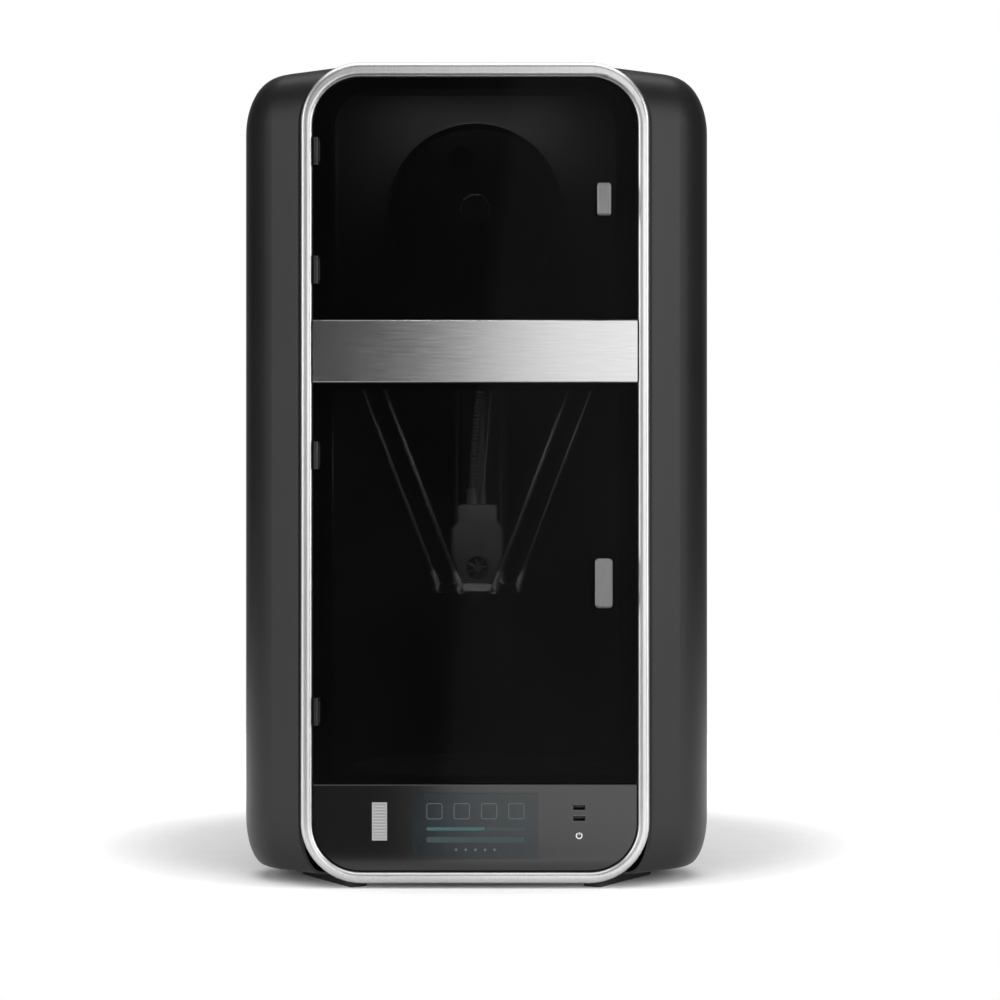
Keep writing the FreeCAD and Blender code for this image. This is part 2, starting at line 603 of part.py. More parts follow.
def print_head():
    z = HEAD_BALL_Z
    plate = Part.makeCylinder(35, 11, V(0, 0, z - 5))
    pads = []
    for name, turn in TOWER_TURNS.items():
        pad = union([block((-20, 20), (26, 47), (z - 5, z + 6))] + ball_axle(HEAD_BALL_R, z, 18))
        pad.rotate(V(0, 0, 0), Z, turn)
        pads.append(pad)
    light = block((-17.7, 17.7), (-56, -50.5), (z - 2, z + 8))
    tongue = block((-9, 9), (-51, -30), (z - 2, z + 4))
    plate = union([plate, light, tongue] + pads)
    save("effector_plate", on_axis(plate.cut(Part.makeCylinder(14, 30, V(0, 0, z - 10)))))

    face = [(-26.8, 455), (-35, 444.5), (-35, 411), (-26, 374.5),
            (26, 374.5), (35, 411), (35, 444.5), (26.8, 455)]
    points = [V(x, -35, h) for x, h in face]
    shroud = Part.Face(Part.makePolygon(points + points[:1])).extrude(V(0, 66, 0))
    uprights = [e for e in shroud.Edges if abs(e.CenterOfMass.y - -35) < 1e-4 and abs(e.CenterOfMass.x) > 20]
    shroud = shroud.makeFillet(6, uprights)
    shroud = shroud.cut([block((-22, 22), (-26, 27), (370, 451)),
                         rod(15.5, V(0, -40, HEAD_FAN_Z), V(0, -20, HEAD_FAN_Z)),
                         block((-10, 4), (-36, -34), (427, 431))])
    spider = [rod(5.0, V(0, -28.6, HEAD_FAN_Z), V(0, -26, HEAD_FAN_Z))]
    for turn in (30, 150, 270):
        spoke = block((0, 17), (-28.6, -26), (HEAD_FAN_Z - 1, HEAD_FAN_Z + 1))
        spoke.rotate(V(0, -27, HEAD_FAN_Z), Y, turn)
        spider.append(spoke)
    pin = rod(1.2, V(0, -33.5, HEAD_FAN_Z), V(0, -27, HEAD_FAN_Z))
    save("head_shroud", on_axis(union([shroud, pin] + spider)))

    hub = rod(5.5, V(0, -34, HEAD_FAN_Z), V(0, -29.2, HEAD_FAN_Z))
    rotor = union([hub] + fan_blades(7, 4.5, 14.2, -31.6, 4.2, HEAD_FAN_Z))
    rotor = rotor.cut(rod(1.25, V(0, -40, HEAD_FAN_Z), V(0, -20, HEAD_FAN_Z)))
    save("head_fan_rotor", on_axis(rotor))

    fins = [Part.makeCylinder(11, 1.6, V(0, 0, 380 + 4.0 * row)) for row in range(9)]
    column = [Part.makeCylinder(4.5, 54, V(0, 0, 358)),
              block((-11, 11), (-8, 8), (348.5, 358.5)),
              Part.makeCone(1.0, 3.6, 6.6, V(0, 0, NOZZLE_Z))]
    save("hotend", on_axis(union(column + fins)))

    face = [(-26.4, 455.3), (26.4, 455.3), (26.4, 474), (22.9, 477.5), (-22.9, 477.5), (-26.4, 474)]
    points = [V(x, -28, h) for x, h in face]
    body = Part.Face(Part.makePolygon(points + points[:1])).extrude(V(0, 53, 0))
    body = body.makeFillet(2.5, [e for e in body.Edges if abs(e.CenterOfMass.y - -28) < 1e-4
                                 and e.CenterOfMass.z > 456])
    neck = stub(HOSE[0], 9.5, 477.5)
    gland = stub(CABLE[0], 5.0, 477.5)
    motor = Part.makeCylinder(17.5, 18, V(0, 31.2, 432), Y)
    mount = block((-21, 21), (25, 31.2), (455.3, 470))
    save("extruder", on_axis(union([body, neck, gland, mount])), on_axis(motor))


def fan_blades(count, inner, outer, y, deep, z):
    """Flat blades, pitched about their own length, round a hub on the Y direction."""
    blades = []
    for index in range(count):
        blade = block((inner, outer), (-0.5, 0.5), (-deep / 2 * 1.2, deep / 2 * 1.2))
        blade.rotate(V(0, 0, 0), X, 52)
        blade.translate(V(0, y, z))
        blade.rotate(V(0, y, z), Y, index * 360.0 / count)
        blades.append(blade)
    return blades


def stub(end, radius, z):
    """An upright boss from height z to just short of a hose's end."""
    x, y, end_z = end
    return rod(radius, V(x, y, z), V(x, y, end_z - math.copysign(0.25, end_z - z)))


def hose(name, radius, points):
    """A round tube through the points, its corners bent to tangent arcs."""
    spots = [V(x, y + at(DELTA_DEEP), z) for x, y, z in points]
    edges, start, bends = [], spots[0], []
    for before, corner, after in zip(spots, spots[1:], spots[2:]):
        back, ahead = before - corner, after - corner
        half_turn = (math.pi - back.getAngle(ahead)) / 2
        reach = 0.45 * min(back.Length, ahead.Length)
        bends.append(reach / math.tan(half_turn))
        back.normalize()
        ahead.normalize()
        into, out = corner + back * reach, corner + ahead * reach
        inward = back + ahead
        inward.normalize()
        middle = corner + inward * (bends[-1] / math.cos(half_turn) - bends[-1])
        edges += [Part.LineSegment(start, into).toShape(), Part.Arc(into, middle, out).toShape()]
        start = out
    edges.append(Part.LineSegment(start, spots[-1]).toShape())
    path = Part.Wire(edges)
    ring = Part.Wire(Part.makeCircle(radius, spots[0], spots[1] - spots[0]))
    print(name, "bend radii", [round(b) for b in bends], "length", round(path.Length, 1))
    save(name, path.makePipeShell([ring], True, False))


# ---- inside ----
def chamber():
    low, high = DECK_Z
    deck = Part.Face(outline(low, 5.0)).extrude(V(0, 0, high - low))
    deck = deck.common(box((-300, 300), (FRAME_THICK + 12.5, CASE_DEPTH), (low - 1, high + 1)))
    cutout = block((-27, 41), (220, 258), (low - 1, high + 1))
    save("deck_plate", deck.cut([on_tower(cutout, name) for name in TOWER_TURNS]))

    bed = [Part.makeCylinder(BED_R, BED_Z[1] - BED_Z[0], V(0, 0, BED_Z[0]))]
    for turn in range(30, 360, 60):
        foot = Part.makeCylinder(7, BED_Z[0] - high, V(0, BED_R - 14, high))
        foot.rotate(V(0, 0, 0), Z, turn)
        bed.append(foot)
    save("heated_bed", on_axis(union(bed)))
    sheet = Part.makeCylinder(PLATE_R, PLATE_THICK, V(0, 0, BED_Z[1]))
    tab = block((-22, 22), (-PLATE_R - 11, -PLATE_R + 6), (BED_Z[1], BED_Z[1] + PLATE_THICK))
    tab = tab.makeFillet(6, [e for e in tab.Edges if e.CenterOfMass.y < -PLATE_R - 10.9
                             and abs(e.tangentAt(e.FirstParameter).z) > 0.9])
    save("build_plate", on_axis(union([sheet, tab])))

    room = casing_solid(WALL + 2, CASE_FRONT)
    room = room.common(box((-300, 300), (FRAME_THICK + 14, CASE_DEPTH), (high + 1, 1000)))
    sheets = []
    for turn in (-60, 60):
        sheet = block((-400, 400), (PANEL_REACH, PANEL_REACH + 1.5), (high, 1000))
        sheet.rotate(V(0, 0, 0), Z, turn)
        sheets.append(on_axis(sheet).common(room))
    save("chamber_panels", *sheets)


def spool_parts():
    half, back, low, high = SPOOL_BOX
    front = FRAME_THICK + 12.3
    tub = box((-half, half), (front, back), (low, high))
    ends = [e for e in tub.Edges if e.CenterOfMass.z > high - 0.1 and abs(e.CenterOfMass.x) > half - 0.1
            and abs(e.tangentAt(e.FirstParameter).y) > 0.9]
    tub = tub.makeFillet(48, ends)
    inside = box((-half + 2.5, half - 2.5), (front - 1, back - 2.5), (low + 2.5, high - 2.5))
    ends = [e for e in inside.Edges if e.CenterOfMass.z > high - 3 and abs(e.CenterOfMass.x) > half - 3
            and abs(e.tangentAt(e.FirstParameter).y) > 0.9]
    tub = tub.cut(inside.makeFillet(45.5, ends))
    ring = rod(112.5, V(0, at(40), SPOOL_Z), V(0, at(back - 1), SPOOL_Z))
    ring = ring.cut(rod(110, V(0, at(30), SPOOL_Z), V(0, at(back), SPOOL_Z)))
    gap = box((96, 116), (30, back - 2.5), (SPOOL_Z - 20, SPOOL_Z + 20))
    tub = tub.fuse(ring.cut(gap))
    exit_hole = Part.makeCylinder(4, 10, V(120, at(60), low - 4))
    tub = tub.cut([exit_hole, rod(6.1, V(0, at(80), SPOOL_Z), V(0, at(95), SPOOL_Z))])
    save("spool_box", tub)

    shaft = rod(SPOOL_BORE - 0.05, V(0, at(26), SPOOL_Z), V(0, at(back - 2.5), SPOOL_Z))
    cap = rod(19.5, V(0, at(17), SPOOL_Z), V(0, at(27), SPOOL_Z))
    cap = cap.makeFillet(2.5, [e for e in cap.Edges if abs(e.CenterOfMass.y - at(17)) < 1e-4])
    stem = rod(6.0, V(0, at(80), SPOOL_Z), V(0, at(back), SPOOL_Z))
    save("spool_holder", union([shaft, cap, stem]))

    near, far = SPOOL_DEEP
    reel = union([rod(SPOOL_R, V(0, at(near), SPOOL_Z), V(0, at(near + 3.5), SPOOL_Z)),
                  rod(40, V(0, at(near), SPOOL_Z), V(0, at(far), SPOOL_Z)),
                  rod(SPOOL_R, V(0, at(far - 3.5), SPOOL_Z), V(0, at(far), SPOOL_Z))])
    cuts = [rod(SPOOL_BORE, V(0, at(near - 1), SPOOL_Z), V(0, at(far + 1), SPOOL_Z))]
    for turn in range(0, 360, 60):
        window = rod(15, V(66, at(near - 1), SPOOL_Z), V(66, at(far + 1), SPOOL_Z))
        window.rotate(V(0, 0, SPOOL_Z), Y, turn + 15)
        cuts.append(window)
    save("spool", reel.cut(cuts))
    wound = rod(88, V(0, at(near + 3.8), SPOOL_Z), V(0, at(far - 3.8), SPOOL_Z))
    core = rod(40.3, V(0, at(near), SPOOL_Z), V(0, at(far), SPOOL_Z))
    save("filament", wound.cut(core))


def electronics():
    case = box((-107, 107), (300, 415), (24, 74))
    feet = [box((x - 8, x + 8), (deep - 8, deep + 8), (CASE_BOTTOM + WALL, 24))
            for x in (-90, 90) for deep in (312, 403)]
    slots = [box((x - 3, x + 3), (318, 398), (72, 76)) for x in range(-90, 91, 15)]
    save("power_supply", union([case] + feet).cut(slots))

    board = [box((-75, 75), (170, 270), (34, 36)),
             box((-22, -4), (212, 230), (36, 38)), box((10, 34), (206, 224), (36, 39))]
    for x in (-52, -26, 0, 26, 52):
        board.append(box((x - 8, x + 8), (178, 194), (36, 46)))
        board.append(box((x - 9, x + 9), (258, 269), (36, 45)))
    for x in (-69, 69):
        for deep in (176, 264):
            board.append(rod(3, V(x, at(deep), CASE_BOTTOM + WALL), V(x, at(deep), 34)))
    save("control_board", union(board))


def blower():
    z = (950, 985)
    scroll = Part.makeCylinder(42, z[1] - z[0], V(0, 70, z[0]))
    duct = block((-8, 26), (12, 66), (z[0], z[0] + 24))
    posts = [rod(5, V(x, 70, z[1]), V(x, 70, CASE_TOP - WALL)) for x in (-30, 30)]
    pipes = [stub(HOSE[-1], 9.5, z[0] + 2), stub(CABLE[-1], 4.5, z[0] + 2)]
    eye = Part.makeCylinder(24, 12, V(0, 70, z[1] - 10))
    save("blower_housing", on_axis(union([scroll, duct] + posts + pipes).cut(eye)))


def exhaust_fan():
    near, far = 510, 535
    frame = box((-40, 40), (near, far), (FAN_Z - 40, FAN_Z + 40))
    frame = frame.makeFillet(4, [e for e in frame.Edges if abs(e.tangentAt(e.FirstParameter).y) > 0.9])
    frame = frame.cut(rod(37, V(0, at(near - 1), FAN_Z), V(0, at(far + 1), FAN_Z)))
    shapes = [frame, rod(14, V(0, at(far - 4), FAN_Z), V(0, at(far), FAN_Z)),
              rod(1.5, V(0, at(near + 4), FAN_Z), V(0, at(far - 3), FAN_Z))]
    for turn in (45, 135, 225, 315):
        strut = box((12, 39), (far - 4, far), (FAN_Z - 2, FAN_Z + 2))
        strut.rotate(V(0, at(far), FAN_Z), Y, turn)
        shapes.append(strut)
    room = casing_solid(WALL, CASE_FRONT)
    for x in (-34, 34):
        for z in (FAN_Z - 34, FAN_Z + 34):
            post = rod(3.5, V(x, at(far - 2), z), V(x, at(CASE_DEPTH), z))
            shapes.append(post.common(room))
    save("exhaust_fan_frame", union(shapes))
    hub = rod(14, V(0, at(near + 2), FAN_Z), V(0, at(far - 4.5), FAN_Z))
    rotor = union([hub] + fan_blades(7, 12.5, 34.8, at(near + 10.5), 17, FAN_Z))
    rotor = rotor.cut(rod(1.55, V(0, at(near), FAN_Z), V(0, at(far), FAN_Z)))
    save("exhaust_fan_rotor", rotor)


def mains():
    floor = CASE_DEPTH - 14
    flange = box((-42, 42), (floor, floor + 2.4), (59, 97))
    socket = box(SOCKET_X, (506, floor + 1), SOCKET_Z)
    switch = box(SWITCH_X, (516, floor + 1), SWITCH_Z)
    plug_room = box(grown(SOCKET_X, -4), (511, floor + 3), grown(SOCKET_Z, -3.5))
    rocker_room = box(grown(SWITCH_X, -3), (523, floor + 3), grown(SWITCH_Z, -1.6))
    middle = (SOCKET_Z[0] + SOCKET_Z[1]) / 2
    pivot = V(0, at(floor - 3), middle)
    bore = rod(1.55, pivot + X * (SWITCH_X[0] + 1.4), pivot + X * (SWITCH_X[1] - 1.4))
    shell = union([flange, socket, switch]).cut([plug_room, rocker_room, bore])
    pins = [box((x - 1, x + 1), (510, 528), (middle + rise - 2.2, middle + rise + 2.2))
            for x, rise in ((-23, -3), (-16, 4), (-9, -3))]
    save("mains_inlet", union([shell] + pins))

    rock = [V(0, -3, -9), V(0, -3, 9), V(0, 4.4, 10), V(0, 2.4, 0), V(0, 4.4, -10)]
    width = SWITCH_X[1] - SWITCH_X[0] - 6.8
    rocker = Part.Face(Part.makePolygon(rock + rock[:1])).extrude(X * width)
    rocker.translate(pivot + X * (SWITCH_X[0] + 3.4))
    pin = rod(1.5, pivot + X * (SWITCH_X[0] + 1.8), pivot + X * (SWITCH_X[1] - 1.8))
    rocker = union([rocker, pin])
    rocker.rotate(pivot, X, -ROCKER_TILT)
    save("rocker_switch", rocker)


def rear_screw_spots():
    """Where the rear cover's screws meet its two slanted walls, and the way the walls face."""
    skin = casing_solid(0.0, CASE_FRONT)
    spots = []
    for side in (-1, 1):
        for z in REAR_SCREW_Z:
            x = side * REAR_SCREW_X
            inside = Part.makeLine(V(x, at(REAR_SPLIT), z), V(x, at(CASE_DEPTH), z)).common(skin)
            wall_y = max(v.Y for v in inside.Vertexes)
            spots.append((V(x, wall_y, z), V(side * math.cos(math.radians(30)), 0.5, 0)))
    return spots


def screws():
    """Front screws beside the upper door, and the screws of the rear cover."""
    heads = []
    for x, z in FRONT_SCREWS:
        heads.append(rod(3.4, V(x, at(FRAME_THICK - 2), z), V(x, at(FRAME_THICK), z)))
    for spot, out in rear_screw_spots():
        heads.append(union([rod(4.0, spot, spot + out * 2), rod(1.8, spot - out * 9, spot + out)]))
    save("cover_screws", *heads)


os.makedirs("parts", exist_ok=True)
casing()
feet()
front_frame()
door_surround()
mid_band()
doors()
control_panel()
tower_parts()
carriages_and_arms()
print_head()
hose("air_hose", HOSE_R, HOSE)
hose("head_cable", CABLE_R, CABLE)
chamber()
spool_parts()
electronics()
blower()
exhaust_fan()
mains()
screws()
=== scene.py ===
import json
import math

import bmesh
import bpy
from mathutils import Matrix, Quaternion, Vector

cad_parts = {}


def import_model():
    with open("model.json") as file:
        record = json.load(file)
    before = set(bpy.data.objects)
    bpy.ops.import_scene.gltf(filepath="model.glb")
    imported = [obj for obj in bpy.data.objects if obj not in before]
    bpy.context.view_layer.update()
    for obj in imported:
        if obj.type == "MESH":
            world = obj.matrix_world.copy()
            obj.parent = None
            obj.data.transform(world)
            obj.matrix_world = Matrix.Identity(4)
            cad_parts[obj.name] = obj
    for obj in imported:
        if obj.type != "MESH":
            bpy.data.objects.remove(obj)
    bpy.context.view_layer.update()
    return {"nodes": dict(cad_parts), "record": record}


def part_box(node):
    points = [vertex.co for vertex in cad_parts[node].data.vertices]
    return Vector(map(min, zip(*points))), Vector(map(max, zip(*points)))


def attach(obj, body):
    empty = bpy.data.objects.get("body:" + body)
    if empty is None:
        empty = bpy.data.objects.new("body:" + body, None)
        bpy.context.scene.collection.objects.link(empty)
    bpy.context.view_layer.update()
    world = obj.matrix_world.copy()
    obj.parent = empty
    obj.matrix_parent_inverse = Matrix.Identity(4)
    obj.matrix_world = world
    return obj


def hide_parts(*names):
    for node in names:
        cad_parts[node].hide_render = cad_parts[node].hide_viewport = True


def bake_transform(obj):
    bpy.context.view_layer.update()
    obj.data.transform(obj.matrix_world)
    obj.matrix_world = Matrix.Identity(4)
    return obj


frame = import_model()
scene = bpy.context.scene
record = frame["record"]


# ---- small node helpers ----
class Nodes:
    """A material's node tree, with short calls to add nodes and link them."""

    def __init__(self, name):
        self.mat = bpy.data.materials.new(name)
        self.mat.use_nodes = True
        self.tree = self.mat.node_tree
        self.tree.nodes.clear()
        self.out = self.add("ShaderNodeOutputMaterial")
        self.shader = self.add("ShaderNodeBsdfPrincipled")
        self.link(self.shader, "BSDF", self.out, "Surface")
        self.coords = self.add("ShaderNodeTexCoord")

    def add(self, kind, **values):
        node = self.tree.nodes.new(kind)
        for key, value in values.items():
            if hasattr(node, key):
                setattr(node, key, value)
            else:
                node.inputs[key.replace("_", " ")].default_value = value
        return node

    def link(self, a, output, b, socket):
        self.tree.links.new(a.outputs[output], b.inputs[socket])

    def mapped(self, scale):
        node = self.add("ShaderNodeMapping")
        node.inputs["Scale"].default_value = scale
        self.link(self.coords, "Object", node, "Vector")
        return node

    def noise(self, scale, stretch=(1, 1, 1), detail=3.0, rough=0.5):
        node = self.add("ShaderNodeTexNoise", Scale=scale, Detail=detail, Roughness=rough)
        self.link(self.mapped(stretch), "Vector", node, "Vector")
        return node

    def ramp(self, source, output, stops):
        node = self.add("ShaderNodeValToRGB")
        points = node.color_ramp.elements
        while len(points) < len(stops):
            points.new(0.5)
        for point, (place, colour) in zip(points, stops):
            point.position = place
            point.color = (*colour, 1.0) if len(colour) == 3 else colour
        self.link(source, output, node, "Fac")
        return node

    def ranged(self, source, output, low, high):
        node = self.add("ShaderNodeMapRange")
        node.inputs["To Min"].default_value = low
        node.inputs["To Max"].default_value = high
        self.link(source, output, node, "Value")
        return node

    def bump(self, source, output, strength, distance):
        node = self.add("ShaderNodeBump", Strength=strength, Distance=distance)
        self.link(source, output, node, "Height")
        self.link(node, "Normal", self.shader, "Normal")
        return node

    def set(self, **values):
        for key, value in values.items():
            self.shader.inputs[key.replace("_", " ")].default_value = value


def grey(v, tint=(1.0, 1.0, 1.0)):
    return tuple(v * t for t in tint)


def plain(name, low, high, rough, metal=0.0, scale=400, stretch=(1, 1, 1), bump=0.1, depth=0.0002,
          sheen_spec=0.5, coat=0.0, large=6.0):
    """Colour drifts between low and high in a fine grain over a broad drift; roughness follows it."""
    n = Nodes(name)
    fine = n.noise(scale, stretch, 4.0, 0.6)
    broad = n.noise(large, (1, 1, 1), 2.0)
    mix = n.add("ShaderNodeMath", operation="MULTIPLY")
    n.link(fine, "Fac", mix, 0)
    n.link(broad, "Fac", mix, 1)
    colour = n.ramp(mix, "Value", [(0.08, low), (0.42, high)])
    n.link(colour, "Color", n.shader, "Base Color")
    spread = n.ranged(fine, "Fac", rough[0], rough[1])
    n.link(spread, "Result", n.shader, "Roughness")
    n.bump(fine, "Fac", bump, depth)
    n.set(Metallic=metal, Specular_IOR_Level=sheen_spec, Coat_Weight=coat)
    return n.mat


def brushed(name, low, high, rough, stretch, bump=0.15):
    """Metal with fine parallel brush marks; stretch is small along the marks."""
    return plain(name, low, high, rough, 1.0, 900, stretch, bump, 0.00006, 0.5, 0.0, 3.0)


def moulded(name, low, high, rough, spec=0.5, scale=1400, bump=0.25):
    """Plastic with the fine spark-eroded grain of a moulding."""
    return plain(name, low, high, rough, 0.0, scale, (1, 1, 1), bump, 0.00012, spec)


def tinted_glass():
    n = Nodes("tinted_glass")
    smear = n.noise(5.0, (1, 1, 1), 3.0)
    colour = n.ramp(smear, "Fac", [(0.35, grey(0.0025)), (0.65, grey(0.004, (1, 1, 1.1)))])
    n.link(colour, "Color", n.shader, "Base Color")
    gloss = n.ranged(smear, "Fac", 0.03, 0.07)
    n.link(gloss, "Result", n.shader, "Roughness")
    n.set(Alpha=GLASS_ALPHA, Specular_IOR_Level=0.014, Metallic=0.0)
    return n.mat


def screen_glass():
    n = Nodes("screen_glass")
    blotch = n.noise(60.0, (1, 1, 1), 2.0)
    colour = n.ramp(blotch, "Fac", [(0.3, (0.004, 0.007, 0.009)), (0.7, (0.006, 0.012, 0.015))])
    n.link(colour, "Color", n.shader, "Base Color")
    n.set(Roughness=0.12, Specular_IOR_Level=0.35)
    return n.mat


def woven(name, low, high, rough):
    """Twill of carbon strands seen on the round arms."""
    n = Nodes(name)
    wave_a = n.add("ShaderNodeTexWave", Scale=240.0, Distortion=0.0)
    wave_a.bands_direction = "DIAGONAL"
    n.link(n.mapped((1, 1, 0.35)), "Vector", wave_a, "Vector")
    fine = n.noise(1800, (1, 1, 0.2), 2.0)
    mix = n.add("ShaderNodeMath", operation="MULTIPLY")
    n.link(wave_a, "Fac", mix, 0)
    n.link(fine, "Fac", mix, 1)
    colour = n.ramp(mix, "Value", [(0.1, low), (0.5, high)])
    n.link(colour, "Color", n.shader, "Base Color")
    spread = n.ranged(fine, "Fac", rough[0], rough[1])
    n.link(spread, "Result", n.shader, "Roughness")
    n.bump(wave_a, "Fac", 0.2, 0.0001)
    n.set(Coat_Weight=0.1)
    return n.mat


def glow(name, colour, strength):
    n = Nodes(name)
    flicker = n.noise(300.0, (1, 1, 1), 1.0)
    tint = n.ramp(flicker, "Fac", [(0.2, tuple(c * 0.75 for c in colour)), (0.8, colour)])
    n.link(tint, "Color", n.shader, "Emission Color")
    n.link(tint, "Color", n.shader, "Base Color")
    n.set(Emission_Strength=strength, Roughness=0.4)
    return n.mat


GLASS_ALPHA = 0.80
ALONG_X, ALONG_Z = (0.03, 1, 1), (1, 1, 0.03)
LOOKS = {
    "frame_metal": brushed("frame_metal", grey(0.44), grey(0.58), (0.34, 0.44), ALONG_Z, 0.04),
    "band_metal": brushed("band_metal", grey(0.27), grey(0.36), (0.15, 0.21), ALONG_X, 0.04),
    "black_sheet": plain("black_sheet", grey(0.008), grey(0.014), (0.5, 0.7), 0.0, 1100, bump=0.2),
    "casing_black": moulded("casing_black", grey(0.006), grey(0.010), (0.34, 0.42), 0.24, 1500, 0.25),
    "dark_glass": tinted_glass(),
    "panel_black": plain("panel_black", grey(0.006), grey(0.010), (0.09, 0.13), 0.0, 1600, bump=0.02,
                         sheen_spec=0.40),
    "screen_glass": screen_glass(),
    "light_plastic": moulded("light_plastic", grey(0.42), grey(0.55), (0.35, 0.5)),
    "steel": brushed("steel", grey(0.05), grey(0.09), (0.35, 0.5), ALONG_Z),
    "handle_metal": brushed("handle_metal", grey(0.10), grey(0.16), (0.26, 0.38), ALONG_Z, 0.12),
    "hinge_metal": brushed("hinge_metal", grey(0.020), grey(0.045), (0.30, 0.42), ALONG_Z),
    "rubber_black": plain("rubber_black", grey(0.006), grey(0.011), (0.7, 0.85), 0.0, 900, bump=0.3),
    "profile_metal": brushed("profile_metal", grey(0.012), grey(0.022), (0.45, 0.6), ALONG_Z),
    "machined_aluminium": brushed("machined_aluminium", grey(0.16), grey(0.28), (0.3, 0.45), ALONG_X),
    "motor_black": plain("motor_black", grey(0.010), grey(0.02), (0.35, 0.5), 0.3, 700),
    "belt_rubber": plain("belt_rubber", grey(0.006), grey(0.012), (0.6, 0.8), 0.0, 500, (1, 1, 8), 0.4),
    "arm_black": woven("arm_black", grey(0.030), grey(0.085), (0.40, 0.55)),
    "head_grey": plain("head_grey", grey(0.055), grey(0.095), (0.42, 0.55), 0.1, 1300, bump=0.2),
    "hot_metal": brushed("hot_metal", grey(0.40), (0.60, 0.58, 0.55), (0.25, 0.4), ALONG_X),
    "plate_coat": plain("plate_coat", grey(0.012), grey(0.035), (0.55, 0.8), 0.1, 2200, bump=0.5,
                        depth=0.0003),
    "bed_aluminium": brushed("bed_aluminium", grey(0.20), grey(0.30), (0.35, 0.5), ALONG_X),
    "spool_plastic": moulded("spool_plastic", grey(0.007), grey(0.013), (0.45, 0.6), 0.3, 900),
    "filament_plastic": plain("filament_plastic", grey(0.010), grey(0.022), (0.25, 0.4), 0.0, 300,
                              (6, 1, 6), 0.2),
    "holder_plastic": moulded("holder_plastic", grey(0.10), grey(0.15), (0.4, 0.55)),
    "supply_case": plain("supply_case", grey(0.30), grey(0.52), (0.3, 0.5), 1.0, 40, (1, 1, 1), 0.05),
    "surround_black": moulded("surround_black", grey(0.008), grey(0.014), (0.5, 0.65), 0.3),
    "port_metal": brushed("port_metal", grey(0.02), grey(0.04), (0.35, 0.5), ALONG_X),
    "board_green": plain("board_green", (0.006, 0.045, 0.022), (0.012, 0.09, 0.04), (0.3, 0.5), 0.0, 260),
    "fan_plastic": moulded("fan_plastic", grey(0.050), grey(0.075), (0.5, 0.65), 0.3),
    "hose_black": plain("hose_black", grey(0.045), grey(0.080), (0.4, 0.55), 0.0, 700, bump=0.15),
    "cable_black": plain("cable_black", grey(0.030), grey(0.055), (0.45, 0.6), 0.0, 900, bump=0.2),
    "screw_steel": brushed("screw_steel", grey(0.10), grey(0.20), (0.3, 0.45), (1, 1, 1)),
    "button_plastic": plain("button_plastic", grey(0.012), grey(0.02), (0.2, 0.3), 0.0, 1500, bump=0.05),
    "switch_plastic": plain("switch_plastic", grey(0.010), grey(0.018), (0.25, 0.4), 0.0, 1200, bump=0.1),
}

for part in record["subparts"]:
    node = frame["nodes"][part["node"]]
    node.data.materials.clear()
    node.data.materials.append(LOOKS[part["material_slot"]])


# ---- helpers for pieces ----
def piece(name, mesh, look, body):
    obj = bpy.data.objects.new(name, mesh)
    scene.collection.objects.link(obj)
    obj.data.materials.append(look)
    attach(obj, body)
    return obj


def smooth(mesh, angle=35):
    for face in mesh.polygons:
        face.use_smooth = True
    mesh.set_sharp_from_angle(angle=math.radians(angle))


def sweep(points, rings, name):
    """A tube through points; rings gives each point's radius. Its rings are kept from twisting."""
    bm = bmesh.new()
    side = Vector((1, 0, 0))
    last = None
    count = 20
    for index, (point, radius) in enumerate(zip(points, rings)):
        ahead = points[min(index + 1, len(points) - 1)] - points[max(index - 1, 0)]
        ahead.normalize()
        side = (side - ahead * side.dot(ahead)).normalized()
        other = ahead.cross(side)
        turn = [2 * math.pi * k / count for k in range(count)]
        ring = [bm.verts.new(point + (side * math.cos(a) + other * math.sin(a)) * radius) for a in turn]
        if last:
            for k in range(count):
                bm.faces.new((last[k], last[(k + 1) % count], ring[(k + 1) % count], ring[k]))
        else:
            bm.faces.new(list(reversed(ring)))
        last = ring
    bm.faces.new(last)
    bmesh.ops.recalc_face_normals(bm, faces=bm.faces)
    mesh = bpy.data.meshes.new(name)
    bm.to_mesh(mesh)
    bm.free()
    smooth(mesh, 60)
    return mesh


def spline_points(route, step):
    """Evenly spaced points along the smooth line that a route's points control."""
    curve = bpy.data.curves.new("route", "CURVE")
    curve.dimensions = "3D"
    line = curve.splines.new("NURBS")
    line.points.add(len(route) - 1)
    for point, place in zip(line.points, route):
        point.co = (*place, 1.0)
    line.order_u = 3
    line.use_endpoint_u = True
    line.resolution_u = 40
    holder = bpy.data.objects.new("route", curve)
    mesh = bpy.data.meshes.new_from_object(holder)
    raw = [v.co.copy() for v in mesh.vertices]
    bpy.data.meshes.remove(mesh)
    bpy.data.objects.remove(holder)
    bpy.data.curves.remove(curve)
    total = sum((b - a).length for a, b in zip(raw, raw[1:]))
    count = max(2, round(total / step))
    places, run, index, made = [raw[0]], 0.0, 0, 1
    for a, b in zip(raw, raw[1:]):
        length = (b - a).length
        while made < count and run + length >= made * total / count:
            share = (made * total / count - run) / length
            places.append(a.lerp(b, share))
            made += 1
        run += length
    places.append(raw[-1])
    return places


